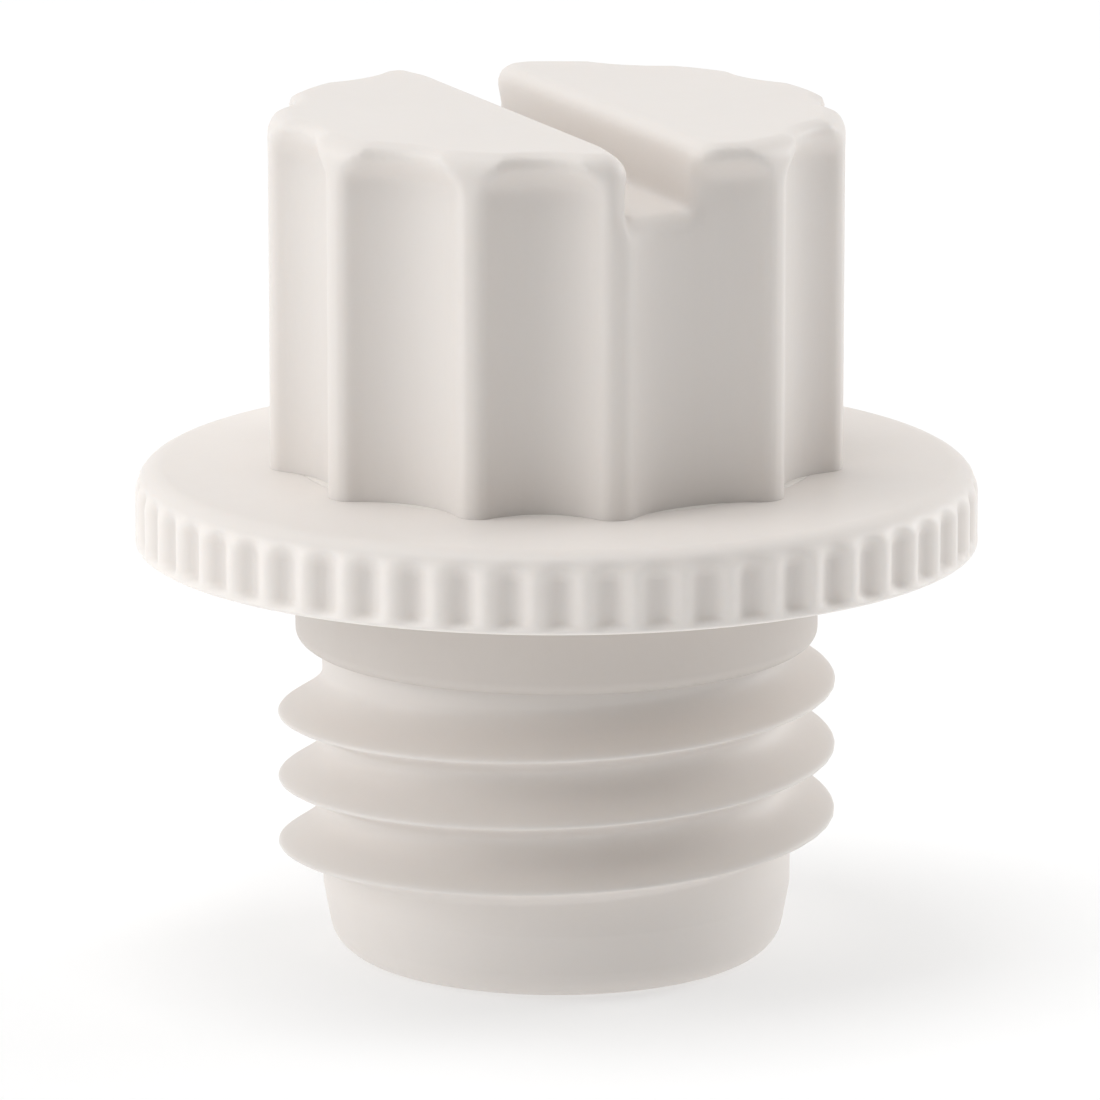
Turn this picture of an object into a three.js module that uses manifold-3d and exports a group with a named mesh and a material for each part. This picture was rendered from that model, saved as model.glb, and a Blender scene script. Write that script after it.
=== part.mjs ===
// Screw-in wall anchor: a threaded plug body with a knurled flange, closed by a fluted clamp knob.
// Millimetres, +Z up. The plug stands on its tail end at z = 0, its axis on the Z axis.
import * as THREE from 'three';
import { mergeVertices } from 'three/addons/utils/BufferGeometryUtils.js';
import Module from 'manifold-3d';

const wasm = await Module();
wasm.setup();

// Driving dimensions
const flangeDiameter = 34.0;
const flangeThickness = 3.25;
const knobDiameter = 23.2;
const knobHeight = 14.4;
const slotWidth = 3.15;
const slotDepth = 2.7;
const threadDiameter = 22.6;
const threadDepth = 1.8;
const threadPitch = 2.7;
const threadLength = 10.1;
const tailLength = 2.75;
const sealHeight = 4.05;
const studDiameter = 8.0;
const studPitch = 1.25;
const insertLength = 10.0;
const washerThickness = 0.9;

// Clearances
const threadClearance = 0.2;
const mouldedGap = 0.1;
const washerSideGap = 0.08;
const washerStandsProud = 0.05;

const fullTurn = Math.PI * 2;
const frontAngle = -Math.PI / 2;

// Heights along the axis, from the tail end
const sealBottom = tailLength + threadLength;
const flangeBottom = sealBottom + sealHeight;
const flangeTop = flangeBottom + flangeThickness;
const washerTop = flangeTop + washerStandsProud;
const washerSeat = washerTop - washerThickness;
const knobTop = washerTop + knobHeight;

// Outer thread and tail of the body
const crestRadius = threadDiameter / 2;
const rootRadius = crestRadius - threadDepth;
const tailTaper = 0.5;
const tailEndRadius = rootRadius - tailTaper;
const tailRounding = 1.4;
const crestBluntness = 0.15;
const upperFlankShare = 0.65;

// Ridges start this share of a pitch away from the end of a threaded length, and are full at the next
const ridgeStart = 0.3;
const ridgeFull = 0.6;
const lowestFrontCrest = 5.05;

// Plain seal collar under the flange, sitting on a core a little thinner than the thread's root
const sealRadius = rootRadius + 1.07;
const sealBore = rootRadius - 0.1;
const sealCore = sealBore - 0.15;
const sealRounding = 0.5;

// Flange
const flangeRadius = flangeDiameter / 2;
const flangeFall = 0.1;
const flangeRounding = 1.1;
const lowerRimBevel = 0.1;
const plainRimHeight = 0.25;
const knurlCount = 55;
const knurlDepth = 0.3;
const knurlRunOut = 0.2;
const seatInnerRadius = crestRadius + 0.6;
const seatHeight = 0.3;

// Clamp knob
const knobRadius = knobDiameter / 2;
const fluteCount = 11;
const fluteDepth = 1.45;
const fluteDepthAtTop = 0.5;
const fluteRunOut = 1.7;
const landAngle = THREE.MathUtils.degToRad(7);
const firstLandAngle = frontAngle + THREE.MathUtils.degToRad(16.2);
const slotLandAngle = frontAngle + THREE.MathUtils.degToRad(11.8);
const slotLandShift = THREE.MathUtils.degToRad(4.4);
const knobRounding = 1.0;
const slotAngle = frontAngle + THREE.MathUtils.degToRad(23.2);

// Stud held in the knob, and the insert it screws into
const studRadius = studDiameter / 2;
const studThreadDepth = studPitch * 0.52;
const studRelief = 0.3;
const studHeadAcrossFlats = studDiameter * 1.6;
const studHeadHeight = studDiameter * 0.6;
const studHeadBottom = washerTop + 2;
const studHeadTop = studHeadBottom + studHeadHeight;
const studBluntness = 2;
const insertWall = 1.7;
const insertRadius = studRadius + insertWall;
const insertGrooveDepth = 0.4;
const insertGrooveWidth = 1.6;
const insertTop = washerSeat - 0.5;
const insertBottom = insertTop - insertLength;
const studBottom = insertBottom - studPitch;
const boreBottom = studBottom - 1;
const boreRadius = studRadius + 0.5;
const washerBore = studRadius + 0.35;
const washerRadius = knobRadius - fluteDepth + 0.35;

// Numbers of flat sides that stand for a circle
const wideSides = 64;
const shankSides = 48;
const boreSides = 40;
const studSides = 20;
const sidesPerGroove = 4;
const sidesPerFlute = 8;

// How far a cutter or a joined piece reaches past the face it meets
const overrun = 1;

// Keeps a whole number that comes out a hair too small from being taken for the one below it
const roundingGuard = 1e-6;

// A point on a profile: its distance from the axis and its height.
const point = (radius, height) => ({ radius, height });

// Points along a rounded corner of a profile, angles in degrees from the outward direction.
function roundedCorner(radius, height, rounding, startDegrees, endDegrees, steps) {
  const points = [];
  for (let i = 0; i <= steps; i++) {
    const angle = THREE.MathUtils.degToRad(THREE.MathUtils.lerp(startDegrees, endDegrees, i / steps));
    points.push(point(radius + rounding * Math.cos(angle), height + rounding * Math.sin(angle)));
  }
  return points;
}

// Skins a stack of level loops. rows[i](angle) gives {radius, height}; the ends are capped on the
// axis, or joined to each other when the stack closes on itself around a bore.
function skinLoops(rows, segments, closesOnItself = false) {
  const positions = [];
  const triangles = [];
  for (const row of rows) {
    for (let i = 0; i < segments; i++) {
      const angle = (i / segments) * fullTurn;
      const { radius, height } = row(angle);
      positions.push(radius * Math.cos(angle), radius * Math.sin(angle), height);
    }
  }
  const bands = closesOnItself ? rows.length : rows.length - 1;
  for (let band = 0; band < bands; band++) {
    const lower = band * segments;
    const upper = ((band + 1) % rows.length) * segments;
    for (let i = 0; i < segments; i++) {
      const next = (i + 1) % segments;
      triangles.push(lower + i, lower + next, upper + next);
      triangles.push(lower + i, upper + next, upper + i);
    }
  }
  if (!closesOnItself) {
    const last = (rows.length - 1) * segments;
    const bottomCentre = positions.length / 3;
    positions.push(0, 0, rows[0](0).height);
    const topCentre = positions.length / 3;
    positions.push(0, 0, rows[rows.length - 1](0).height);
    for (let i = 0; i < segments; i++) {
      const next = (i + 1) % segments;
      triangles.push(bottomCentre, next, i);
      triangles.push(topCentre, last + i, last + next);
    }
  }
  const geometry = new THREE.BufferGeometry();
  geometry.setAttribute('position', new THREE.Float32BufferAttribute(positions, 3));
  geometry.setIndex(triangles);
  return geometry;
}

// A plain turned shape from profile points, each a level circle.
const turned = (profile, segments, closesOnItself = false) =>
  skinLoops(profile.map((p) => () => p), segments, closesOnItself);

function toSolid(geometry) {
  const bare = geometry.clone();
  bare.deleteAttribute('normal');
  bare.deleteAttribute('uv');
  const merged = mergeVertices(bare, 1e-4);
  return new wasm.Manifold(new wasm.Mesh({
    numProp: 3,
    vertProperties: new Float32Array(merged.attributes.position.array),
    triVerts: new Uint32Array(merged.index.array),
  }));
}

function toGeometry(solid) {
  const mesh = solid.getMesh();
  const geometry = new THREE.BufferGeometry();
  geometry.setAttribute('position', new THREE.BufferAttribute(mesh.vertProperties, 3));
  geometry.setIndex(new THREE.BufferAttribute(mesh.triVerts, 1));
  const flat = geometry.toNonIndexed();
  flat.computeVertexNormals();
  return flat;
}

// A round or many-sided pin between two heights, as a cutter or a filler.
function pin(radius, bottom, top, segments) {
  return turned([point(radius, bottom), point(radius, top)], segments);
}

// A six-sided bar between two heights.
const hexagon = (acrossFlats, bottom, top) => pin(acrossFlats / Math.sqrt(3), bottom, top, 6);

// Height of a helical ridge above its root, from 0 to 1, at a distance from its crest counted in
// pitches. A small bluntness gives a narrow crest between round hollows, a large one an even wave.
function ridge(fromCrest, bluntness, upperShare) {
  const flank = fromCrest > 0 ? upperShare : 1 - upperShare;
  const slope = Math.sin((fromCrest / flank) * (Math.PI / 2));
  const highest = Math.hypot(1, bluntness) - bluntness;
  return 1 - (Math.hypot(slope, bluntness) - bluntness) / highest;
}

// Rows of a right-handed threaded length with one start. Every row climbs with the helix and, where
// it meets the next row's level, drops back by one row, so that one row always runs along the crest.
// Ridges fade out near both ends. They stand out from the plain radius by a positive depth; a
// negative depth runs them in towards the axis, as in a nut. The upper share is the part of a pitch
// that the upper flank takes.
function threadedRows(thread) {
  const { bottom, top, plainRadius, depth, pitch, crestHeight, bluntness, upperShare, rowsPerPitch } = thread;
  const spacing = pitch / rowsPerPitch;
  const lowestStep = Math.floor((bottom - crestHeight) / spacing) + 1;
  const highestStep = Math.floor((top - crestHeight) / spacing) - 1;
  const rows = [() => point(plainRadius, bottom)];
  for (let step = lowestStep; step <= highestStep; step++) {
    rows.push((angle) => {
      const turns = (angle - frontAngle) / fullTurn;
      const climb = THREE.MathUtils.euclideanModulo(turns * rowsPerPitch + roundingGuard, 1);
      const height = crestHeight + (step + climb) * spacing;
      const crestsUp = (height - crestHeight) / pitch - turns;
      const fromCrest = crestsUp - Math.ceil(crestsUp - upperShare);
      const crest = height - fromCrest * pitch;
      const fromEnd = Math.min(crest - bottom, top - crest) / pitch;
      const strength = THREE.MathUtils.smoothstep(fromEnd, ridgeStart, ridgeFull);
      return point(plainRadius + ridge(fromCrest, bluntness, upperShare) * strength * depth, height);
    });
  }
  rows.push(() => point(plainRadius, top));
  return rows;
}

function shankSolid() {
  const tail = [
    point(tailEndRadius - tailRounding, 0),
    ...roundedCorner(tailEndRadius - tailRounding, tailRounding, tailRounding, -67.5, 0, 3),
  ];
  const thread = threadedRows({
    bottom: tailLength,
    top: sealBottom,
    plainRadius: rootRadius,
    depth: threadDepth,
    pitch: threadPitch,
    crestHeight: lowestFrontCrest,
    bluntness: crestBluntness,
    upperShare: upperFlankShare,
    rowsPerPitch: 12,
  });
  const neck = [
    point(sealCore, sealBottom),
    point(sealCore, flangeBottom + overrun),
  ];
  const rows = [
    ...tail.map((p) => () => p),
    ...thread,
    ...neck.map((p) => () => p),
  ];
  return toSolid(skinLoops(rows, shankSides));
}

// Rim with evenly spaced grooves that run out into the rounded top edge and the plain lower rim.
function flangeSolid() {
  const edgeRadius = flangeRadius - flangeRounding;
  const edgeHeight = flangeTop - flangeFall - flangeRounding;
  const topEdge = roundedCorner(edgeRadius, edgeHeight, flangeRounding, 0, 90, 3);
  const groove = (strength, p) => (angle) => {
    const depth = knurlDepth * strength * (0.5 - 0.5 * Math.cos((angle - frontAngle) * knurlCount));
    return point(p.radius - depth, p.height);
  };
  const grooveStart = flangeBottom + plainRimHeight;
  const rows = [
    groove(0, point(flangeRadius - lowerRimBevel, flangeBottom)),
    groove(0, point(flangeRadius, flangeBottom + lowerRimBevel)),
    groove(0, point(flangeRadius, grooveStart)),
    groove(1, point(flangeRadius, grooveStart + knurlRunOut)),
    groove(1, topEdge[0]),
    groove(0.5, topEdge[1]),
    groove(0, topEdge[2]),
    groove(0, topEdge[3]),
    groove(0, point(knobRadius, flangeTop)),
  ];
  return toSolid(skinLoops(rows, knurlCount * sidesPerGroove));
}

// A shallow recess underneath leaves a flat ring that seats against the wall.
function flangeWithSeat() {
  const recess = toSolid(pin(seatInnerRadius, flangeBottom - overrun, flangeBottom + seatHeight, wideSides));
  return flangeSolid().subtract(recess);
}

function anchorBody() {
  const boreSteps = [
    pin(washerRadius + washerSideGap, washerSeat, flangeTop + overrun, wideSides),
    pin(insertRadius + mouldedGap, insertBottom, washerSeat + overrun, boreSides),
    pin(boreRadius, boreBottom, insertBottom + overrun, boreSides),
  ];
  let solid = flangeWithSeat().add(shankSolid());
  for (const step of boreSteps) {
    solid = solid.subtract(toSolid(step));
  }
  return toGeometry(solid);
}

function neckSeal() {
  const sealTop = flangeBottom + seatHeight;
  return turned([
    point(sealBore, sealBottom),
    point(sealRadius - sealRounding, sealBottom),
    ...roundedCorner(sealRadius - sealRounding, sealBottom + sealRounding, sealRounding, -60, 0, 2),
    point(sealRadius, sealTop),
    point(sealBore, sealTop),
  ], wideSides, true);
}

function threadedInsert() {
  const bore = threadedRows({
    bottom: insertBottom,
    top: insertTop,
    plainRadius: studRadius + threadClearance,
    depth: -studThreadDepth,
    pitch: studPitch,
    crestHeight: washerTop + studPitch / 2,
    bluntness: studBluntness,
    upperShare: 0.5,
    rowsPerPitch: 5,
  });
  const grooveFloor = insertRadius - insertGrooveDepth;
  const outside = [point(insertRadius, insertBottom)];
  for (const share of [0.3, 0.65]) {
    const middle = THREE.MathUtils.lerp(insertBottom, insertTop, share);
    outside.push(
      point(insertRadius, middle - insertGrooveWidth / 2),
      point(grooveFloor, middle - insertGrooveWidth / 4),
      point(grooveFloor, middle + insertGrooveWidth / 4),
      point(insertRadius, middle + insertGrooveWidth / 2),
    );
  }
  outside.push(point(insertRadius, insertTop));
  const rows = [...outside.map((p) => () => p), ...bore.reverse()];
  return skinLoops(rows, studSides, true);
}

function thrustWasher() {
  return turned([
    point(washerBore, washerSeat),
    point(washerRadius, washerSeat),
    point(washerRadius, washerTop),
    point(washerBore, washerTop),
  ], wideSides, true);
}

function clampStud() {
  const thread = threadedRows({
    bottom: studBottom,
    top: washerTop - studRelief,
    plainRadius: studRadius - studThreadDepth,
    depth: studThreadDepth,
    pitch: studPitch,
    crestHeight: washerTop,
    bluntness: studBluntness,
    upperShare: 0.5,
    rowsPerPitch: 5,
  });
  const plainShank = [point(studRadius, washerTop), point(studRadius, studHeadBottom + overrun)];
  const shank = skinLoops([...thread, ...plainShank.map((p) => () => p)], studSides);
  const head = hexagon(studHeadAcrossFlats, studHeadBottom, studHeadTop);
  return toGeometry(toSolid(shank).add(toSolid(head)));
}

// How far the even pattern of flutes is turned at an angle, so that the land beside the slot's
// front end makes room for it and the slot leaves through a wider flute.
function fluteShift(angle) {
  const away = THREE.MathUtils.euclideanModulo(angle - slotLandAngle + Math.PI, fullTurn) - Math.PI;
  const share = Math.min(1, Math.abs(away) / (fullTurn / fluteCount));
  return slotLandShift * (1 - share ** 2) ** 2;
}

// Distance from the axis to the fluted outline: round lands with concave flutes between them.
function flutedRadius(angle, outerRadius, depth) {
  const step = fullTurn / fluteCount;
  const turned = angle + fluteShift(angle) - firstLandAngle;
  const pastLand = THREE.MathUtils.euclideanModulo(turned + step / 2, step) - step / 2;
  const fromLand = Math.abs(pastLand);
  const intoFlute = Math.max(0, fromLand - landAngle / 2) / (step / 2 - landAngle / 2);
  return outerRadius - depth * Math.sin((intoFlute * Math.PI) / 2);
}

// Flutes are full up to a little below the top face, then get shallower towards it.
function fluteDepthAt(height) {
  const share = THREE.MathUtils.smoothstep(height, knobTop - fluteRunOut, knobTop);
  return THREE.MathUtils.lerp(fluteDepth, fluteDepthAtTop, share);
}

function clampKnob() {
  const runOutStart = knobTop - fluteRunOut;
  const edgeStart = knobTop - knobRounding;
  const wall = [washerTop, runOutStart, (runOutStart + edgeStart) / 2].map((height) => point(0, height));
  const edge = roundedCorner(-knobRounding, edgeStart, knobRounding, 0, 90, 4);
  const rows = [...wall, ...edge].map(({ radius, height }) => (angle) =>
    point(flutedRadius(angle, knobRadius, fluteDepthAt(height)) + radius, height));
  const slotLength = knobDiameter * 2;
  const slot = new THREE.BoxGeometry(slotLength, slotWidth, slotDepth * 2);
  slot.rotateZ(slotAngle);
  slot.translate(0, 0, knobTop);
  const headPocket = hexagon(studHeadAcrossFlats + mouldedGap * 2, studHeadBottom, studHeadTop);
  const shankHole = pin(studRadius + mouldedGap, washerTop - overrun, studHeadBottom + overrun, studSides);
  const solid = toSolid(skinLoops(rows, fluteCount * sidesPerFlute))
    .subtract(toSolid(slot))
    .subtract(toSolid(headPocket))
    .subtract(toSolid(shankHole));
  return toGeometry(solid);
}

const ivoryPlastic = () => new THREE.MeshStandardMaterial({ color: 0xe6e0d8, roughness: 0.5, metalness: 0 });
const softPlastic = () => new THREE.MeshStandardMaterial({ color: 0xe2dcd4, roughness: 0.6, metalness: 0 });
const washerPlastic = () => new THREE.MeshStandardMaterial({ color: 0xe8e3dc, roughness: 0.4, metalness: 0 });
const plainSteel = () => new THREE.MeshStandardMaterial({ color: 0xb8bbbf, roughness: 0.35, metalness: 1 });
const plainBrass = () => new THREE.MeshStandardMaterial({ color: 0xc9a75a, roughness: 0.35, metalness: 1 });

function addPiece(group, name, geometry, material) {
  geometry.computeVertexNormals();
  const mesh = new THREE.Mesh(geometry, material);
  mesh.name = name;
  group.add(mesh);
}

const anchor = new THREE.Group();
anchor.name = 'wall_anchor';
addPiece(anchor, 'anchor_body', anchorBody(), ivoryPlastic());
addPiece(anchor, 'neck_seal', neckSeal(), softPlastic());
addPiece(anchor, 'threaded_insert', threadedInsert(), plainBrass());
addPiece(anchor, 'thrust_washer', thrustWasher(), washerPlastic());
addPiece(anchor, 'clamp_stud', clampStud(), plainSteel());
addPiece(anchor, 'clamp_knob', clampKnob(), ivoryPlastic());

export default anchor;
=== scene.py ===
"""Wall anchor with a fluted clamp knob: detailed meshes, moulded finishes, studio and camera."""

import math

import bmesh
import bpy
from mathutils import Matrix, Vector


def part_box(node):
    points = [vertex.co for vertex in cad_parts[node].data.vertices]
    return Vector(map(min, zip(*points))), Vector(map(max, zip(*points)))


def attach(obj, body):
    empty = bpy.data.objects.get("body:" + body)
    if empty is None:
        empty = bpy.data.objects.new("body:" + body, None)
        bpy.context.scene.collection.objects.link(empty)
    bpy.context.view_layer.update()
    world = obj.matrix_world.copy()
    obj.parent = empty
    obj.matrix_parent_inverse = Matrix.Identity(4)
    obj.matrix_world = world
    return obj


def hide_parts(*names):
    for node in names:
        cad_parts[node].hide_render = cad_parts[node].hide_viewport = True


bl_info = {
    "name": "Wall Anchor",
    "version": (1, 0, 0),
    "blender": (4, 5, 0),
    "location": "3D View > Sidebar > Wall Anchor",
    "description": "Builds a screw-in wall anchor with a fluted clamp knob",
    "category": "Add Mesh",
}

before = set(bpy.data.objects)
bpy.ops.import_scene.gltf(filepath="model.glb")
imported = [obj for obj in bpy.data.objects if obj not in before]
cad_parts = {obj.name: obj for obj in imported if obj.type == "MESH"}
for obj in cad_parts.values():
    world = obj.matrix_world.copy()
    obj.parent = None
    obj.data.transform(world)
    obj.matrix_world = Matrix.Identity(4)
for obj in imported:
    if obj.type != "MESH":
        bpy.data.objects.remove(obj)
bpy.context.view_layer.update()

MM = 0.001
FRONT = -math.pi / 2

# Mesh making: points this close become one, and arcs are cut into steps of this angle.
JOIN_DISTANCE = 0.002 * MM
ROUND_OFF = 0.001 * MM
ARC_STEP = math.radians(11)
ARC_LEAD = 0.04 * MM
CRISP_ANGLE = math.radians(60)

# A ridge grows between these two distances, in pitches, from either end of its thread.
RIDGE_START = 0.3
RIDGE_FULL = 0.6

# A wall counts as threaded, or as needing more rows, when its radius is this close.
THREAD_BAND = 0.05 * MM
WALL_BAND = 0.3 * MM

body_low, body_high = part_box("anchor_body")
knob_low, knob_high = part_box("clamp_knob")
seal_low, seal_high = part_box("neck_seal")
washer_low, washer_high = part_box("thrust_washer")
insert_low, insert_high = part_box("threaded_insert")
stud_low, stud_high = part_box("clamp_stud")
stud_head_low = knob_low[2] + 2.0 * MM


# ---------------------------------------------------------------- sizes and colours


def length(label, words, default):
    """A length in metres that a user can change."""
    return bpy.props.FloatProperty(
        name=label, description=words, default=default, unit="LENGTH", precision=5, min=0.0
    )


def colour(label, words, default):
    """A colour that a user can change."""
    return bpy.props.FloatVectorProperty(
        name=label, description=words, default=default, subtype="COLOR", size=3, min=0.0, max=1.0
    )


class KnobSizes(bpy.types.PropertyGroup):
    """Sizes of the fluted clamp knob."""

    diameter: length("Diameter", "Across the lands between the flutes", 23.2 * MM)
    flutes: bpy.props.IntProperty(
        name="Flutes", description="Number of flutes around the knob", default=11, min=3
    )
    flute_depth: length("Flute depth", "Depth of a flute below the lands", 1.45 * MM)
    depth_at_top: length("Flute depth at the top", "Depth where a flute meets the top", 0.5 * MM)
    flute_run_out: length("Flute run-out", "Height over which a flute gets shallower", 1.7 * MM)
    flute_angle: bpy.props.FloatProperty(
        name="Flute width",
        description="Angle that one flute takes of the round",
        default=math.radians(27.6),
        subtype="ANGLE",
    )
    first_land: bpy.props.FloatProperty(
        name="First land",
        description="Where a land stands, counted from the front",
        default=math.radians(16.2),
        subtype="ANGLE",
    )
    slot_land: bpy.props.FloatProperty(
        name="Land beside the slot",
        description="Where that land stands once it has made room for the slot",
        default=math.radians(11.8),
        subtype="ANGLE",
    )
    land_rounding: length("Land rounding", "Radius along the edges of each land", 0.32 * MM)
    top_rounding: length("Top rounding", "Radius around the top edge", 1.0 * MM)
    slot_width: length("Slot width", "Width of the coin slot", 3.15 * MM)
    slot_depth: length("Slot depth", "Depth of the coin slot", 2.7 * MM)
    slot_rounding: length("Slot rounding", "Radius along the slot's edges", 0.65 * MM)
    floor_rounding: length("Slot floor rounding", "Radius along the slot's floor", 0.39 * MM)
    slot_growth: bpy.props.FloatProperty(
        name="Slot rounding growth",
        description="Share by which the slot's edges get rounder towards its ends",
        default=0.8,
        min=0.0,
    )
    slot_angle: bpy.props.FloatProperty(
        name="Slot direction",
        description="Direction of the slot, counted from the front",
        default=math.radians(23.2),
        subtype="ANGLE",
    )
    cell: length("Mesh size", "Width of the faces that the knob is made of", 0.155 * MM)
    layer: length("Mesh layer", "Height of the faces that the knob is made of", 0.225 * MM)


class BodySizes(bpy.types.PropertyGroup):
    """Sizes of the plug body with its flange and outer thread."""

    flange_diameter: length("Flange diameter", "Across the rim", body_high[0] - body_low[0])
    flange_fall: length("Flange fall", "How far the top slopes down to the rim", 0.1 * MM)
    flange_rounding: length("Flange rounding", "Radius of the rim's top edge", 1.1 * MM)
    grooves: bpy.props.IntProperty(
        name="Rim grooves", description="Number of grooves around the rim", default=55, min=3
    )
    groove_depth: length("Groove depth", "Depth of the rim grooves", 0.38 * MM)
    thread_diameter: length("Thread diameter", "Across the outer thread's crests", 22.6 * MM)
    thread_depth: length("Thread depth", "Height of the outer thread", 1.8 * MM)
    thread_pitch: length("Thread pitch", "Rise of the outer thread in one turn", 2.7 * MM)
    crest_bluntness: bpy.props.FloatProperty(
        name="Crest bluntness", description="0 is a sharp crest, more is a rounder one",
        default=0.15, min=0.0,
    )
    upper_flank: bpy.props.FloatProperty(
        name="Upper flank", description="Share of the pitch that the flank above a crest takes",
        default=0.65, min=0.1, max=0.9,
    )
    lowest_crest: length("Lowest crest", "Height of the lowest crest in front", 5.05 * MM)
    tail_length: length("Tail length", "Plain length below the thread", 2.75 * MM)
    tail_taper: length("Tail taper", "How much the tail's radius falls to its end", 0.5 * MM)
    tail_rounding: length("Tail rounding", "Radius of the tail's lower edge", 1.4 * MM)


class StudSizes(bpy.types.PropertyGroup):
    """Sizes of the stud and of the insert it screws into."""

    diameter: length("Stud diameter", "Across the stud thread's crests", 8.0 * MM)
    pitch: length("Stud pitch", "Rise of the stud thread in one turn", 1.25 * MM)
    thread_depth: length("Stud thread depth", "Height of the stud thread", 0.65 * MM)
    clearance: length("Thread clearance", "Gap between the stud and its insert", 0.2 * MM)


class FinishColours(bpy.types.PropertyGroup):
    """Colours of the finishes."""

    plastic: colour("Plastic", "Colour of the moulded plastic", (0.80, 0.758, 0.722))
    # Darker than the plastic: painted shade for the collar that lies under the flange.
    seal: colour("Seal", "Colour of the collar under the flange", (0.65, 0.608, 0.572))
    washer: colour("Washer", "Colour of the thrust washer", (0.83, 0.80, 0.76))
    steel: colour("Steel", "Colour of the stud", (0.62, 0.63, 0.65))
    brass: colour("Brass", "Colour of the insert", (0.72, 0.55, 0.28))


class StudioSettings(bpy.types.PropertyGroup):
    """Camera and light."""

    elevation: bpy.props.FloatProperty(
        name="Camera elevation", description="Angle above the horizon", default=math.radians(12.9),
        subtype="ANGLE",
    )
    distance: length("Camera distance", "From the camera to the part's axis", 344.0 * MM)
    frame_height: length("View height", "Height of the view at the part's axis", 44.46 * MM)
    aim_height: length("Aim height", "Height on the axis that the camera looks at", 16.4 * MM)
    key_power: bpy.props.FloatProperty(
        name="Key light", description="Power of the large light at the left", default=1.9,
        subtype="POWER", min=0.0,
    )
    floor: colour("Floor", "Colour of the floor", (0.55, 0.55, 0.55))
    floor_glow: bpy.props.FloatProperty(
        name="Floor glow", description="Light given by the floor itself", default=0.455, min=0.0
    )


# ---------------------------------------------------------------- node trees as expressions


class Wire:
    """One socket of a node tree, so that maths on it reads as an expression."""

    def __init__(self, board, socket):
        self.board = board
        self.socket = socket

    def _math(self, operation, *values):
        node = self.board.node("ShaderNodeMath", {"operation": operation}, dict(enumerate(values)))
        return Wire(self.board, node.outputs[0])

    def __add__(self, other):
        return self._math("ADD", self, other)

    def __radd__(self, other):
        return self._math("ADD", other, self)

    def __sub__(self, other):
        return self._math("SUBTRACT", self, other)

    def __rsub__(self, other):
        return self._math("SUBTRACT", other, self)

    def __mul__(self, other):
        return self._math("MULTIPLY", self, other)

    def __rmul__(self, other):
        return self._math("MULTIPLY", other, self)

    def __truediv__(self, other):
        return self._math("DIVIDE", self, other)

    def __rtruediv__(self, other):
        return self._math("DIVIDE", other, self)

    def __pow__(self, other):
        return self._math("POWER", self, other)

    def __neg__(self):
        return self._math("MULTIPLY", self, -1.0)

    def __abs__(self):
        return self._math("ABSOLUTE", self)

    def sin(self):
        return self._math("SINE", self)

    def cos(self):
        return self._math("COSINE", self)

    def sqrt(self):
        return self._math("SQRT", self)

    def rounded(self):
        return self._math("ROUND", self)

    def least(self, other):
        return self._math("MINIMUM", self, other)

    def most(self, other):
        return self._math("MAXIMUM", self, other)

    def above(self, other):
        return self._math("GREATER_THAN", self, other)

    def angle_to(self, across):
        """Angle of the point whose height is this value and whose width is across."""
        return self._math("ARCTAN2", self, across)

    def wrapped(self, high, low):
        return self._math("WRAP", self, high, low)

    def step(self, start, end):
        """0 before start, 1 after end, with a soft change between them."""
        share = ((self - start) / (end - start)).most(0.0).least(1.0)
        return share * share * (3.0 - 2.0 * share)


class Board:
    """A node tree with one method that adds any node."""

    def __init__(self, tree):
        self.tree = tree

    def node(self, kind, settings=None, sockets=None):
        """Adds a node: its settings are set first, then its sockets get values or links."""
        node = self.tree.nodes.new(kind)
        for name, value in (settings or {}).items():
            setattr(node, name, value)
        for name, value in (sockets or {}).items():
            socket = node.inputs[name]
            if isinstance(value, Wire):
                self.tree.links.new(value.socket, socket)
            else:
                socket.default_value = value
        return node

    def wire(self, kind, settings=None, sockets=None, output=0):
        """Adds a node and gives one of its outputs."""
        return Wire(self, self.node(kind, settings, sockets).outputs[output])

    def split(self, vector):
        """The x, y and z parts of a vector."""
        parts = self.node("ShaderNodeSeparateXYZ", None, {0: vector})
        return [Wire(self, parts.outputs[i]) for i in range(3)]

    def joined(self, x, y, z):
        """A vector from its three parts."""
        return self.wire("ShaderNodeCombineXYZ", None, {0: x, 1: y, 2: z})

    def from_axis(self, place):
        """Distance of a place from the part's axis."""
        x, y, _ = self.split(place)
        return (x * x + y * y).sqrt()


class ShapeTree(Board):
    """A geometry tree with named inputs, which ends in real faces and a material."""

    def __init__(self, name):
        super().__init__(bpy.data.node_groups.new(name, "GeometryNodeTree"))
        self.tree.is_modifier = True
        self.add_input("Geometry", "NodeSocketGeometry")
        self.add_input("Material", "NodeSocketMaterial")
        self.tree.interface.new_socket(
            name="Geometry", in_out="OUTPUT", socket_type="NodeSocketGeometry"
        )
        self.entry = self.tree.nodes.new("NodeGroupInput")

    def add_input(self, name, kind):
        return self.tree.interface.new_socket(name=name, in_out="INPUT", socket_type=kind)

    def length(self, name):
        self.add_input(name, "NodeSocketFloat")
        return self.given(name)

    def count(self, name):
        self.add_input(name, "NodeSocketInt")
        return self.given(name)

    def given(self, name):
        return Wire(self, self.entry.outputs[name])

    def place(self):
        """The three coordinates of each point."""
        return self.split(self.wire("GeometryNodeInputPosition"))

    def finish(self, shape):
        """Smooth faces, real and with the piece's material, go to the output."""
        smooth = self.wire("GeometryNodeSetShadeSmooth", None, {"Geometry": shape})
        real = self.wire("GeometryNodeRealizeInstances", None, {"Geometry": smooth})
        painted = self.wire(
            "GeometryNodeSetMaterial", None, {"Geometry": real, "Material": self.given("Material")}
        )
        end = self.tree.nodes.new("NodeGroupOutput")
        self.tree.links.new(painted.socket, end.inputs["Geometry"])
        return self.tree


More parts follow.
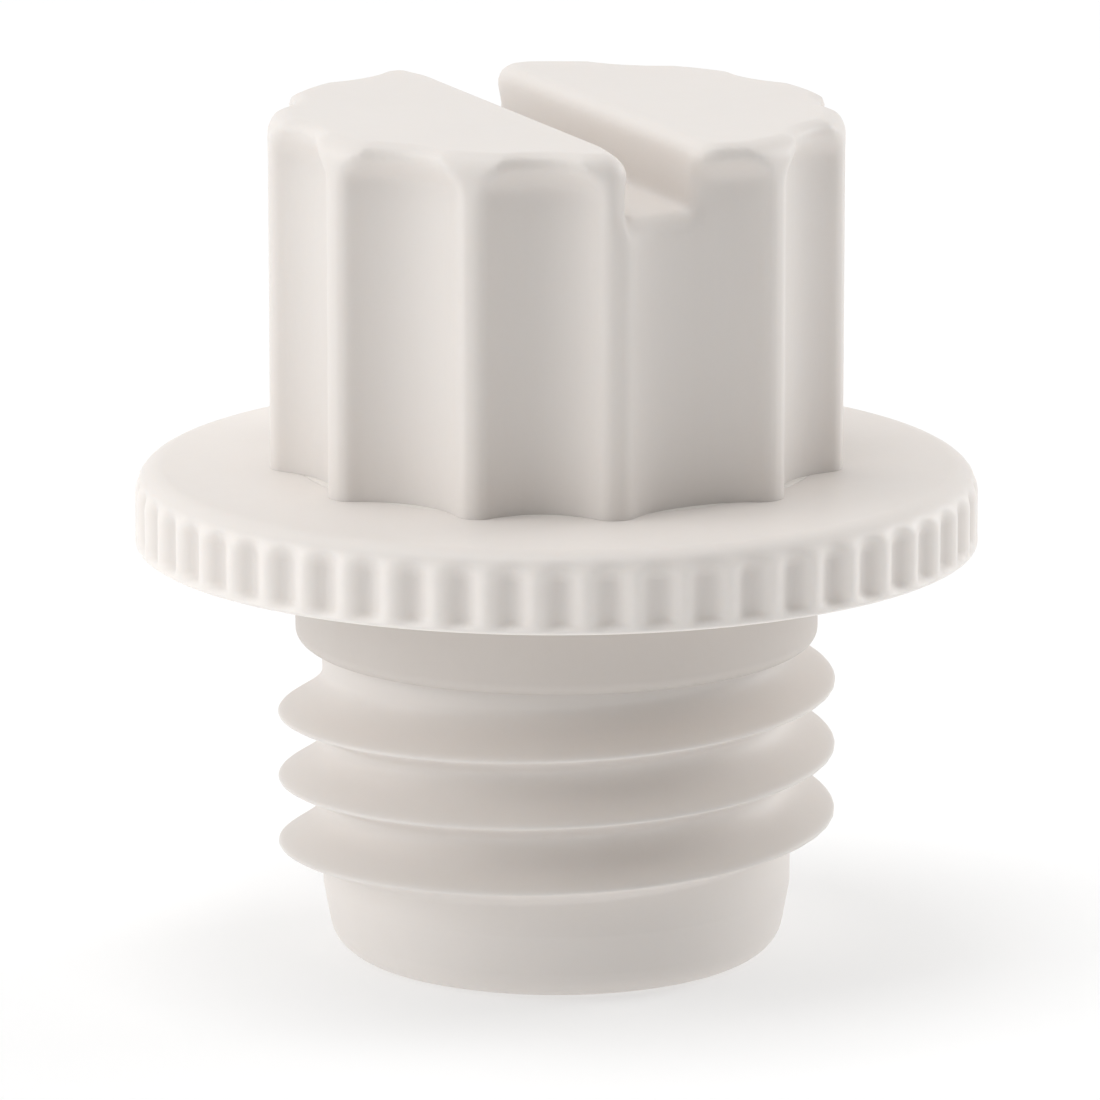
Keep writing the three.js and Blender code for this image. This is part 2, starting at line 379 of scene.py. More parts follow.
def grown(name, tree, start, values):
    """Runs a shape tree on a starting mesh and gives the piece as a plain mesh."""
    piece = bpy.data.objects.new(name, start)
    bpy.context.scene.collection.objects.link(piece)
    modifier = piece.modifiers.new("Shape", "NODES")
    modifier.node_group = tree
    for item in tree.interface.items_tree:
        if item.in_out == "INPUT" and item.name in values:
            modifier[item.identifier] = values[item.name]
    piece.update_tag()
    bpy.context.view_layer.update()
    view = bpy.context.evaluated_depsgraph_get()
    mesh = bpy.data.meshes.new_from_object(piece.evaluated_get(view), depsgraph=view)
    piece.modifiers.remove(modifier)
    piece.data = mesh
    mesh.name = name
    if len(mesh.polygons) == 0:
        raise RuntimeError(f"{name} came out with no faces")
    return piece


# ---------------------------------------------------------------- turned shapes


def turned_tree():
    """A profile turned about the axis, with grooves along it and a thread around it."""
    tree = ShapeTree("Turned Piece")
    segments = tree.count("Segments")
    rows = tree.count("Rows")
    grid = tree.node(
        "GeometryNodeMeshGrid",
        None,
        {"Size X": 1.0, "Size Y": 1.0, "Vertices X": segments + 1, "Vertices Y": rows},
    )
    across, along, _ = tree.place()
    angle = (across + 0.5) * math.tau
    row = ((along + 0.5) * (rows - 1)).rounded()
    spot = tree.wire("GeometryNodeInputPosition")
    profile = tree.wire(
        "GeometryNodeSampleIndex",
        {"data_type": "FLOAT_VECTOR", "domain": "POINT"},
        {"Geometry": tree.given("Geometry"), "Value": spot, "Index": row},
    )
    radius, _, height = tree.split(profile)

    count = tree.length("Groove Count")
    depth = tree.length("Groove Depth")
    lowest = tree.length("Groove Bottom")
    highest = tree.length("Groove Top")
    rise = tree.length("Groove Rise")
    run_out = tree.length("Groove Run Out")
    inner = tree.length("Groove Inner Radius")
    first = tree.length("First Groove")
    hollow = 0.5 + 0.5 * ((angle - first) * count).cos()
    ends = height.step(lowest, lowest + rise) * (1.0 - height.step(highest - run_out, highest))
    grooves = hollow * depth * ends * radius.above(inner)

    pitch = tree.length("Thread Pitch")
    thread_depth = tree.length("Thread Depth")
    bottom = tree.length("Thread Bottom")
    top = tree.length("Thread Top")
    crest = tree.length("Crest Height")
    blunt = tree.length("Crest Bluntness")
    upper = tree.length("Upper Flank Share")
    low_radius = tree.length("Thread From Radius")
    high_radius = tree.length("Thread To Radius")
    turns = (height - crest) / pitch - (angle - FRONT) / math.tau
    from_crest = turns - (turns - upper + 0.5).rounded()
    above = from_crest.above(0.0)
    flank = above * upper + (1.0 - above) * (1.0 - upper)
    slope = (from_crest / flank * (math.pi / 2)).sin()
    fall = (slope * slope + blunt * blunt).sqrt() - blunt
    ridge = 1.0 - fall / ((1.0 + blunt * blunt).sqrt() - blunt)
    nearest = height - from_crest * pitch
    strength = ((nearest - bottom).least(top - nearest) / pitch).step(RIDGE_START, RIDGE_FULL)
    band = radius.above(low_radius) * (1.0 - radius.above(high_radius))
    thread = ridge * strength * band * thread_depth

    reach = radius - grooves + thread
    target = tree.joined(reach * angle.cos(), reach * angle.sin(), height)
    turned = tree.wire(
        "GeometryNodeSetPosition",
        None,
        {"Geometry": Wire(tree, grid.outputs["Mesh"]), "Position": target},
    )
    closed = tree.wire(
        "GeometryNodeMergeByDistance", None, {"Geometry": turned, "Distance": JOIN_DISTANCE}
    )
    return tree.finish(closed)


def corner_arc(before, corner, after, rounding):
    """Points that round one corner of a profile, with a point just off each end."""
    inward = (before - corner).normalized()
    outward = (after - corner).normalized()
    half = inward.angle(outward) / 2
    reach = rounding / math.tan(half)
    start = corner + inward * reach
    end = corner + outward * reach
    centre = corner + (inward + outward).normalized() * (rounding / math.sin(half))
    turn = math.pi - 2 * half
    steps = max(2, round(turn / ARC_STEP))
    arm = start - centre
    side = 1 if arm.x * (end - centre).y - arm.y * (end - centre).x > 0 else -1
    points = []
    for i in range(steps + 1):
        angle = side * turn * i / steps
        points.append(
            centre
            + Vector(
                (
                    arm.x * math.cos(angle) - arm.y * math.sin(angle),
                    arm.x * math.sin(angle) + arm.y * math.cos(angle),
                )
            )
        )
    lead = min(ARC_LEAD, rounding)
    return [start + inward * lead, *points, end + outward * lead]


def profile_points(corners, closed=False):
    """A profile from (radius, height, rounding) corners; closed joins the last to the first."""
    places = [Vector((r, z)) for r, z, _ in corners]
    points = []
    for i, (_, _, rounding) in enumerate(corners):
        inside = closed or 0 < i < len(corners) - 1
        if rounding > 0 and inside:
            after = places[(i + 1) % len(places)]
            points += corner_arc(places[i - 1], places[i], after, rounding)
        else:
            points.append(places[i])
    if closed:
        points.append(points[0])
    return points


def with_rows(points, low, high, gap, radius):
    """The same profile with extra points on its wall at that radius, between two heights."""
    result = [points[0]]
    for a, b in zip(points, points[1:]):
        on_wall = max(abs(a.x - radius), abs(b.x - radius)) < WALL_BAND
        inside = min(a.y, b.y) > low - ROUND_OFF and max(a.y, b.y) < high + ROUND_OFF
        steps = max(1, round((b - a).length / gap)) if on_wall and inside else 1
        for i in range(1, steps + 1):
            result.append(a.lerp(b, i / steps))
    return result


def turned_piece(name, points, segments, material, **extras):
    """One turned piece from its profile."""
    start = bpy.data.meshes.new(name + "_profile")
    edges = [(i, i + 1) for i in range(len(points) - 1)]
    start.from_pydata([(p.x, 0.0, p.y) for p in points], edges, [])
    tree = bpy.data.node_groups.get("Turned Piece") or turned_tree()
    values = {
        "Material": material,
        "Segments": segments,
        "Rows": len(points),
        "Groove Count": 1.0,
        "Groove Depth": 0.0,
        "Groove Bottom": 0.0,
        "Groove Top": 1.0,
        "Groove Rise": 0.1,
        "Groove Run Out": 0.1,
        "Groove Inner Radius": 1.0,
        "First Groove": 0.0,
        "Thread Pitch": 1.0,
        "Thread Depth": 0.0,
        "Thread Bottom": 0.0,
        "Thread Top": 1.0,
        "Crest Height": 0.0,
        "Crest Bluntness": 2.0,
        "Upper Flank Share": 0.5,
        "Thread From Radius": 0.0,
        "Thread To Radius": 1.0,
    }
    values.update(extras)
    return grown(name, tree, start, values)


# ---------------------------------------------------------------- knob shape

# Share of the knob's radius beyond which the slot's edges get rounder.
OUTLET_START = 0.75


def rounded_most(a, b, rounding):
    """The larger of two distances, with a round fillet where both surfaces meet."""
    over_a = (a + rounding).most(0.0)
    over_b = (b + rounding).most(0.0)
    return (over_a * over_a + over_b * over_b).sqrt() + a.most(b).least(-rounding)


def knob_tree():
    """The fluted knob as a filled space, cut by the coin slot and by the stud's pocket.

    The space reaches a little too low and its skin is then levelled, for a sharp foot.
    """
    tree = ShapeTree("Fluted Knob")
    radius = tree.length("Radius")
    bottom = tree.length("Bottom")
    top = tree.length("Top")
    flutes = tree.length("Flutes")
    flute_radius = tree.length("Flute Radius")
    flute_centre = tree.length("Flute Centre")
    flute_lift = tree.length("Flute Lift")
    run_out = tree.length("Flute Run Out")
    first_land = tree.length("First Land")
    slot_land = tree.length("Slot Land")
    land_shift = tree.length("Slot Land Shift")
    land_rounding = tree.length("Land Rounding")
    top_rounding = tree.length("Top Rounding")
    slot_width = tree.length("Slot Width")
    slot_depth = tree.length("Slot Depth")
    slot_rounding = tree.length("Slot Rounding")
    floor_rounding = tree.length("Slot Floor Rounding")
    slot_growth = tree.length("Slot Rounding Growth")
    slot_angle = tree.length("Slot Angle")
    stud_radius = tree.length("Stud Radius")
    pocket_bottom = tree.length("Pocket Bottom")
    pocket_top = tree.length("Pocket Top")
    pocket_width = tree.length("Pocket Width")
    cell = tree.length("Cell")
    layer = tree.length("Layer")

    spare = 2.0 * layer
    x, y, z = tree.place()
    from_axis = (x * x + y * y).sqrt()
    step = math.tau / flutes
    angle = y.angle_to(x)
    away = abs((angle - slot_land).wrapped(math.pi, -math.pi)) / step
    room = 1.0 - away.least(1.0) ** 2.0
    turned = angle + land_shift * room * room - first_land
    folded = turned.wrapped(step, 0.0) - step * 0.5
    lift = flute_lift * z.step(top - run_out, top)
    along = from_axis * folded.cos() - flute_centre - lift
    aside = from_axis * folded.sin()
    in_flute = flute_radius - (along * along + aside * aside).sqrt()
    outline = rounded_most(from_axis - radius, in_flute, land_rounding)
    head = rounded_most(outline, z - top, top_rounding)
    head = head.most(bottom - spare - z)

    off_slot = abs(x * slot_angle.sin() - y * slot_angle.cos()) - slot_width * 0.5
    slot = rounded_most(off_slot, top - slot_depth - z, floor_rounding)
    outlet = from_axis.step(radius * OUTLET_START, radius)
    head = rounded_most(head, -slot, slot_rounding * (1.0 + slot_growth * outlet))

    hole = (from_axis - stud_radius).most(z - pocket_top)
    sides = abs(x)
    for turn in (math.pi / 3, -math.pi / 3):
        sides = sides.most(abs(x * math.cos(turn) + y * math.sin(turn)))
    pocket = (sides - pocket_width * 0.5).most(z - pocket_top).most(pocket_bottom - z)
    head = head.most(-hole.least(pocket))

    margin = 5.0 * layer
    span = radius + margin
    low = tree.joined(-span, -span, bottom - margin)
    high = tree.joined(span, span, top + margin)
    wide = (2.0 * span / cell).rounded()
    tall = ((top - bottom + 2.0 * margin) / layer).rounded()
    filled = tree.wire(
        "GeometryNodeVolumeCube",
        None,
        {
            "Density": 1.0 - head / cell,
            "Background": 0.0,
            "Min": low,
            "Max": high,
            "Resolution X": wide,
            "Resolution Y": wide,
            "Resolution Z": tall,
        },
    )
    skin = tree.wire(
        "GeometryNodeVolumeToMesh",
        {"resolution_mode": "GRID"},
        {"Volume": filled, "Threshold": 1.0, "Adaptivity": 0.0},
    )
    level = tree.joined(x, y, z.most(bottom))
    cut = tree.wire("GeometryNodeSetPosition", None, {"Geometry": skin, "Position": level})
    closed = tree.wire(
        "GeometryNodeMergeByDistance", None, {"Geometry": cut, "Distance": JOIN_DISTANCE}
    )
    bend = tree.wire("GeometryNodeInputMeshEdgeAngle")
    crisp = tree.wire(
        "GeometryNodeSetShadeSmooth",
        {"domain": "EDGE"},
        {"Geometry": closed, "Selection": bend.above(CRISP_ANGLE), "Shade Smooth": False},
    )
    return tree.finish(crisp)


# ---------------------------------------------------------------- finishes

# How much painted highlight lightens the rim of the flange and the lands of the knob.
RIM_PAINTED_LIGHT = 1.1
KNOB_PAINTED_LIGHT = 0.25

# How light goes through all the moulded plastics.
PLASTIC_DEPTH = {
    "Subsurface_Weight": 0.15,
    "Subsurface_Radius": (1.0, 0.85, 0.7),
    "Subsurface_Scale": 1.2 * MM,
    "IOR": 1.49,
}


class Finish(Board):
    """A material with one main shader."""

    def __init__(self, name):
        material = bpy.data.materials.new(name)
        material.use_nodes = True
        super().__init__(material.node_tree)
        self.material = material
        self.tree.nodes.clear()
        self.shader = self.tree.nodes.new("ShaderNodeBsdfPrincipled")
        end = self.tree.nodes.new("ShaderNodeOutputMaterial")
        self.tree.links.new(self.shader.outputs[0], end.inputs["Surface"])

    def object_place(self):
        return self.wire("ShaderNodeTexCoord", None, None, "Object")

    def stretched(self, place, scale):
        """The same coordinates, stretched per axis."""
        return self.wire(
            "ShaderNodeVectorMath", {"operation": "MULTIPLY"}, {0: place, 1: scale}
        )

    def noise(self, place, scale, detail=3.0, roughness=0.5):
        return self.wire(
            "ShaderNodeTexNoise",
            {"noise_dimensions": "3D"},
            {"Vector": place, "Scale": scale, "Detail": detail, "Roughness": roughness},
            "Fac",
        )

    def blend(self, share, first, second):
        """One colour turning into another."""
        node = self.node("ShaderNodeMix", {"data_type": "RGBA"}, {0: share})
        for socket, value in ((node.inputs[6], first), (node.inputs[7], second)):
            if isinstance(value, Wire):
                self.tree.links.new(value.socket, socket)
            else:
                socket.default_value = (*value, 1.0)
        return Wire(self, node.outputs[2])

    def give(self, **values):
        """Feeds the main shader, with underscores for the spaces in its socket names."""
        for name, value in values.items():
            socket = self.shader.inputs[name.replace("_", " ")]
            if isinstance(value, Wire):
                self.tree.links.new(value.socket, socket)
            else:
                socket.default_value = value

    def bump(self, height, strength, distance):
        return self.wire(
            "ShaderNodeBump",
            None,
            {"Height": height, "Strength": strength, "Distance": distance},
        )


def shade_of(tone, factor, warmth=0.0):
    """A lighter or darker tone of a colour, a little warmer if asked."""
    red, green, blue = (min(1.0, part * factor) for part in tone)
    return (red, green * (1.0 - warmth * 0.5), blue * (1.0 - warmth))


def moulded_plastic(name, tone, rim_radius, painted_light_share):
    """Satin moulded plastic with clouding, faint draw lines, fine grain and a painted highlight
    that lightens the rim.
    """
    finish = Finish(name)
    place = finish.object_place()
    clouds = finish.noise(place, 90.0, 2.0)
    grain = finish.noise(place, 5200.0, 3.0, 0.6)
    texture = finish.noise(place, 1500.0, 4.0, 0.55)
    draw_lines = finish.noise(finish.stretched(place, (1.0, 1.0, 0.04)), 900.0, 2.0)
    from_axis = finish.from_axis(place)
    # Painted highlight: a band at the rim radius gets a lighter colour for light catching the
    # edge, and a little less roughness.
    painted_light_width = 0.35 * MM
    painted_light_band = from_axis.step(rim_radius - painted_light_width, rim_radius) * (0.5 + 0.3 * texture)

    base = finish.blend(clouds, shade_of(tone, 0.965, 0.012), shade_of(tone, 1.03))
    lined = finish.blend((draw_lines - 0.5) * 0.5 + 0.25, base, shade_of(tone, 1.02))
    specked = finish.blend((grain - 0.5).most(0.0) * 0.25, lined, shade_of(tone, 0.9, 0.03))
    # The lighter tone on this band is painted highlight, not wear from handling.
    with_painted_light = finish.blend((painted_light_band * painted_light_share).least(1.0), specked, shade_of(tone, 1.2))
    relief = texture * 0.7 + grain * 0.25 + draw_lines * 0.35
    finish.give(
        Base_Color=with_painted_light,
        Roughness=0.40 + 0.10 * texture + 0.05 * clouds - 0.06 * painted_light_band,
        Normal=finish.bump(relief, 0.10, 0.03 * MM),
        Specular_IOR_Level=0.45,
        **PLASTIC_DEPTH,
    )
    return finish.material


def soft_plastic(name, tone):
    """Slightly softer, duller moulded plastic."""
    finish = Finish(name)
    place = finish.object_place()
    clouds = finish.noise(place, 140.0, 2.0)
    grain = finish.noise(place, 2600.0, 4.0, 0.6)
    base = finish.blend(clouds, shade_of(tone, 0.96, 0.01), shade_of(tone, 1.03))
    specked = finish.blend((grain - 0.5).most(0.0) * 0.3, base, shade_of(tone, 0.9, 0.02))
    finish.give(
        Base_Color=specked,
        Roughness=0.48 + 0.12 * grain,
        Normal=finish.bump(grain, 0.12, 0.03 * MM),
        **PLASTIC_DEPTH,
    )
    return finish.material


def slick_plastic(name, tone):
    """Smooth bearing plastic with faint rings from turning."""
    finish = Finish(name)
    place = finish.object_place()
    from_axis = finish.from_axis(place)
    ring_width = 0.35 * MM
    rings = 0.5 + 0.5 * (from_axis * (math.tau / ring_width)).sin()
    clouds = finish.noise(place, 200.0, 3.0)
    base = finish.blend(clouds, shade_of(tone, 0.96), shade_of(tone, 1.03))
    finish.give(
        Base_Color=base,
        Roughness=0.28 + 0.08 * rings + 0.06 * clouds,
        Normal=finish.bump(rings * 0.5 + clouds, 0.06, 0.02 * MM),
        IOR=1.5,
    )
    return finish.material


def machined_metal(name, tone, tarnish):
    """Machined metal with fine rings around the axis and a light tarnish."""
    finish = Finish(name)
    place = finish.object_place()
    rings = finish.noise(finish.stretched(place, (0.05, 0.05, 1.0)), 9000.0, 2.0)
    clouds = finish.noise(place, 420.0, 4.0, 0.6)
    spots = finish.noise(place, 1700.0, 3.0, 0.65)
    base = finish.blend(clouds, shade_of(tone, 0.85, 0.03), shade_of(tone, 1.08))
    dulled = finish.blend((spots - 0.52).most(0.0) * 1.6, base, tarnish)
    finish.give(
        Base_Color=dulled,
        Metallic=1.0,
        Roughness=0.24 + 0.14 * clouds + 0.10 * rings,
        Normal=finish.bump(rings + spots * 0.4, 0.10, 0.02 * MM),
    )
    return finish.material


def floor_paper(tone, glow):
    """Plain pale studio paper with a faint fibre, lit a little from below."""
    finish = Finish("Studio Paper")
    place = finish.object_place()
    fibre = finish.noise(place, 900.0, 4.0, 0.6)
    paper = finish.blend(fibre, shade_of(tone, 0.99), shade_of(tone, 1.01))
    finish.give(
        Base_Color=paper,
        Roughness=0.9,
        Specular_IOR_Level=0.1,
        Emission_Strength=glow,
    )
    return finish.material


# ---------------------------------------------------------------- pieces

RING_SEGMENTS = 192
STUD_SEGMENTS = 96
ROWS_PER_STUD_TURN = 12


def link_piece(piece, body, node):
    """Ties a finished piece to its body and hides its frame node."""
    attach(piece, body)
    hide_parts(node)


class WALLANCHOR_OT_body(bpy.types.Operator):
    """Builds the plug body with its grooved flange, outer thread, tail and bore."""

    bl_idname = "wallanchor.body"
    bl_label = "Plug Body"

    def execute(self, context):
        sizes = context.scene.anchor_body_sizes
        knob = context.scene.anchor_knob_sizes
        stud = context.scene.anchor_stud_sizes
        colours = context.scene.anchor_colours
        rim = sizes.flange_diameter / 2
        root = sizes.thread_diameter / 2 - sizes.thread_depth
        core = root - 0.25 * MM
        seal_bottom = seal_low[2]
        underside = seal_high[2]
        seat = underside - 0.3 * MM
        seat_inner = sizes.thread_diameter / 2 + 0.6 * MM
        seat_rounding = 0.08 * MM
        rim_rounding = 0.12 * MM
        flange_top = body_high[2]
        rim_top = flange_top - sizes.flange_fall
        washer_seat = washer_low[2]
        washer_gap = 0.02 * MM
        recess = washer_high[0] + washer_gap
        insert_bore = insert_high[0] + 0.1 * MM
        bore = stud.diameter / 2 + 0.5 * MM
        bore_end = stud_low[2] - 1.0 * MM
        segments_per_groove = 8
        thread_row = sizes.thread_pitch / 36
        rim_row = 0.18 * MM
        points = profile_points(
            [
                (0.0, body_low[2], 0.0),
                (root - sizes.tail_taper, body_low[2], sizes.tail_rounding),
                (root, sizes.tail_length, 0.0),
                (root, seal_bottom, 0.0),
                (core, seal_bottom, 0.0),
                (core, underside, 0.0),
                (seat_inner, underside, seat_rounding),
                (seat_inner, seat, seat_rounding),
                (rim, seat, rim_rounding),
                (rim, rim_top, sizes.flange_rounding),
                (knob.diameter / 2, flange_top, 0.0),
                (recess, flange_top, washer_gap),
                (recess, washer_seat, 0.0),
                (insert_bore, washer_seat, 0.0),
                (insert_bore, insert_low[2], 0.0),
                (bore, insert_low[2], 0.0),
                (bore, bore_end, 0.0),
                (0.0, bore_end, 0.0),
            ]
        )
        points = with_rows(points, sizes.tail_length, seal_bottom, thread_row, root)
        points = with_rows(points, seat, flange_top, rim_row, rim)
        piece = turned_piece(
            "plug_body",
            points,
            sizes.grooves * segments_per_groove,
            # The flange rim gets a painted highlight in this material.
            moulded_plastic("Ivory Plastic Body", colours.plastic, rim, RIM_PAINTED_LIGHT),
            **{
                "Groove Count": float(sizes.grooves),
                "Groove Depth": sizes.groove_depth,
                "Groove Bottom": seat + rim_rounding,
                "Groove Top": rim_top - 0.25 * MM,
                "Groove Rise": 0.3 * MM,
                "Groove Run Out": 0.9 * MM,
                "Groove Inner Radius": rim - sizes.flange_rounding,
                "First Groove": FRONT + math.radians(0.45),
                "Thread Pitch": sizes.thread_pitch,
                "Thread Depth": sizes.thread_depth,
                "Thread Bottom": sizes.tail_length,
                "Thread Top": seal_bottom,
                "Crest Height": sizes.lowest_crest,
                "Crest Bluntness": sizes.crest_bluntness,
                "Upper Flank Share": sizes.upper_flank,
                "Thread From Radius": root - THREAD_BAND,
                "Thread To Radius": root + THREAD_BAND,
            },
        )
        link_piece(piece, "anchor", "anchor_body")
        return {"FINISHED"}


class WALLANCHOR_OT_knob(bpy.types.Operator):
    """Builds the fluted clamp knob with its coin slot."""

    bl_idname = "wallanchor.knob"
    bl_label = "Clamp Knob"

    def execute(self, context):
        sizes = context.scene.anchor_knob_sizes
        stud = context.scene.anchor_stud_sizes
        colours = context.scene.anchor_colours
        radius = sizes.diameter / 2
        half = sizes.flute_angle / 2
        edge_x, edge_y = radius * math.cos(half), radius * math.sin(half)
        floor = radius - sizes.flute_depth
        centre = (edge_x**2 + edge_y**2 - floor**2) / (2 * (edge_x - floor))
        tree = bpy.data.node_groups.get("Fluted Knob") or knob_tree()
        piece = grown(
            "fluted_knob",
            tree,
            bpy.data.meshes.new("knob_start"),
            {
                # The knob's lands get a faint painted highlight in this material.
                "Material": moulded_plastic(
                    "Ivory Plastic Knob", colours.plastic, radius, KNOB_PAINTED_LIGHT
                ),
                "Radius": radius,
                "Bottom": body_high[2] + 0.002 * MM,
                "Top": knob_high[2],
                "Flutes": float(sizes.flutes),
                "Flute Radius": centre - floor,
                "Flute Centre": centre,
                "Flute Lift": sizes.flute_depth - sizes.depth_at_top,
                "Flute Run Out": sizes.flute_run_out,
                "First Land": FRONT + sizes.first_land,
                "Slot Land": FRONT + sizes.slot_land,
                "Slot Land Shift": sizes.first_land - sizes.slot_land,
                "Land Rounding": sizes.land_rounding,
                "Top Rounding": sizes.top_rounding,
                "Slot Width": sizes.slot_width,
                "Slot Depth": sizes.slot_depth,
                "Slot Rounding": sizes.slot_rounding,
                "Slot Floor Rounding": sizes.floor_rounding,
                "Slot Rounding Growth": sizes.slot_growth,
                "Slot Angle": FRONT + sizes.slot_angle,
                "Stud Radius": stud.diameter / 2 + 0.1 * MM,
                "Pocket Bottom": stud_head_low,
                "Pocket Top": stud_high[2],
                "Pocket Width": (stud_high[1] - stud_low[1]) + 0.2 * MM,
                "Cell": sizes.cell,
                "Layer": sizes.layer,
            },
        )
        link_piece(piece, "knob", "clamp_knob")
        return {"FINISHED"}


class WALLANCHOR_OT_seal(bpy.types.Operator):
    """Builds the plain collar under the flange."""

    bl_idname = "wallanchor.seal"
    bl_label = "Neck Seal"

    def execute(self, context):
        colours = context.scene.anchor_colours
        body = context.scene.anchor_body_sizes
        outer = seal_high[0]
        inner = body.thread_diameter / 2 - body.thread_depth - 0.1 * MM
        corners = [
            (inner, seal_low[2], 0.0),
            (outer, seal_low[2], 0.5 * MM),
            (outer, seal_high[2], 0.05 * MM),
            (inner, seal_high[2], 0.0),
        ]
        piece = turned_piece(
            "neck_collar", profile_points(corners, closed=True), RING_SEGMENTS,
            # The seal colour is darker as painted shade under the flange.
            soft_plastic("Soft Ivory Plastic", colours.seal),
        )
        link_piece(piece, "anchor", "neck_seal")
        return {"FINISHED"}


class WALLANCHOR_OT_washer(bpy.types.Operator):
    """Builds the thrust washer under the knob."""

    bl_idname = "wallanchor.washer"
    bl_label = "Thrust Washer"

    def execute(self, context):
        colours = context.scene.anchor_colours
        stud = context.scene.anchor_stud_sizes
        inner = stud.diameter / 2 + 0.35 * MM
        top = body_high[2] + 0.001 * MM
        corners = [
            (inner, washer_low[2], 0.1 * MM),
            (washer_high[0], washer_low[2], 0.06 * MM),
            (washer_high[0], top, 0.02 * MM),
            (inner, top, 0.1 * MM),
        ]
        piece = turned_piece(
            "bearing_washer", profile_points(corners, closed=True), RING_SEGMENTS,
            slick_plastic("Bearing Plastic", colours.washer),
        )
        link_piece(piece, "washer", "thrust_washer")
        return {"FINISHED"}


class WALLANCHOR_OT_insert(bpy.types.Operator):
    """Builds the threaded insert in the plug's bore."""

    bl_idname = "wallanchor.insert"
    bl_label = "Threaded Insert"

    def execute(self, context):
        colours = context.scene.anchor_colours
        stud = context.scene.anchor_stud_sizes
        outer = insert_high[0]
        bore = stud.diameter / 2 + stud.clearance
        low, high = insert_low[2], insert_high[2]
        depth = 0.4 * MM
        half_floor = 0.4 * MM
        half_mouth = half_floor + depth
        rounding = 0.1 * MM
        ridges = 36
        corners = [(bore, low, 0.0), (outer, low, rounding)]
        for share in (0.3, 0.65):
            middle = low + (high - low) * share
            corners += [
                (outer, middle - half_mouth, 0.0),
                (outer - depth, middle - half_floor, 0.0),
                (outer - depth, middle + half_floor, 0.0),
                (outer, middle + half_mouth, 0.0),
            ]
        corners += [(outer, high, rounding), (bore, high, 0.0)]
        points = profile_points(corners, closed=True)
        points = with_rows(points, low, high, stud.pitch / ROWS_PER_STUD_TURN, bore)
        piece = turned_piece(
            "brass_insert",
            points,
            ridges * 3,
            machined_metal("Machined Brass", colours.brass, (0.35, 0.22, 0.10)),
            **{
                "Groove Count": float(ridges),
                "Groove Depth": 0.2 * MM,
                "Groove Bottom": low + rounding,
                "Groove Top": high - rounding,
                "Groove Rise": 0.2 * MM,
                "Groove Run Out": 0.2 * MM,
                "Groove Inner Radius": outer - 0.05 * MM,
                "Thread Pitch": stud.pitch,
                "Thread Depth": -stud.thread_depth,
                "Thread Bottom": low,
                "Thread Top": high,
                "Crest Height": washer_high[2] + stud.pitch / 2,
                "Thread From Radius": bore - THREAD_BAND,
                "Thread To Radius": bore + THREAD_BAND,
            },
        )
        link_piece(piece, "anchor", "threaded_insert")
        return {"FINISHED"}


class WALLANCHOR_OT_stud(bpy.types.Operator):
    """Builds the threaded stud held in the knob."""

    bl_idname = "wallanchor.stud"
    bl_label = "Clamp Stud"

    def execute(self, context):
        colours = context.scene.anchor_colours
        stud = context.scene.anchor_stud_sizes
        outer = stud.diameter / 2
        root = outer - stud.thread_depth
        low = stud_low[2]
        thread_top = washer_high[2] - 0.3 * MM
        shank_top = stud_head_low + 1.0 * MM
        points = profile_points(
            [
                (0.0, low, 0.0),
                (root, low, 0.1 * MM),
                (root, thread_top, 0.0),
                (outer, washer_high[2], 0.0),
                (outer, shank_top, 0.0),
                (0.0, shank_top, 0.0),
            ]
        )
        points = with_rows(points, low, thread_top, stud.pitch / ROWS_PER_STUD_TURN, root)
        piece = turned_piece(
            "steel_stud",
            points,
            STUD_SEGMENTS,
            machined_metal("Zinc Steel", colours.steel, (0.42, 0.42, 0.43)),
            **{
                "Thread Pitch": stud.pitch,
                "Thread Depth": stud.thread_depth,
                "Thread Bottom": low,
                "Thread Top": thread_top,
                "Crest Height": washer_high[2],
                "Thread From Radius": root - THREAD_BAND,
                "Thread To Radius": root + THREAD_BAND,
            },
        )
        self.add_head(piece)
        link_piece(piece, "knob", "clamp_stud")
        return {"FINISHED"}

    def add_head(self, piece):
        """Adds the six-sided head that the knob is moulded around."""
        height = stud_high[2] - stud_head_low
        corner_radius = stud_high[0]
        shape = bmesh.new()
        shape.from_mesh(piece.data)
        head = bmesh.new()
        bmesh.ops.create_cone(
            head, cap_ends=True, segments=6, radius1=corner_radius, radius2=corner_radius,
            depth=height,
        )
        ends = [f for f in head.faces if len(f.verts) == 6]
        for face in head.faces:
            face.smooth = False
        bmesh.ops.bevel(
            head, geom=[e for f in ends for e in f.edges], offset=0.25 * MM, segments=2,
            affect="EDGES",
        )
        turn = Matrix.Rotation(math.radians(30), 3, "Z")
        bmesh.ops.rotate(head, cent=(0, 0, 0), matrix=turn, verts=head.verts)
        bmesh.ops.translate(head, vec=(0, 0, stud_head_low + height / 2), verts=head.verts)
        extra = bpy.data.meshes.new("stud_head")
        head.to_mesh(extra)
        shape.from_mesh(extra)
        shape.to_mesh(piece.data)
        head.free()
        shape.free()


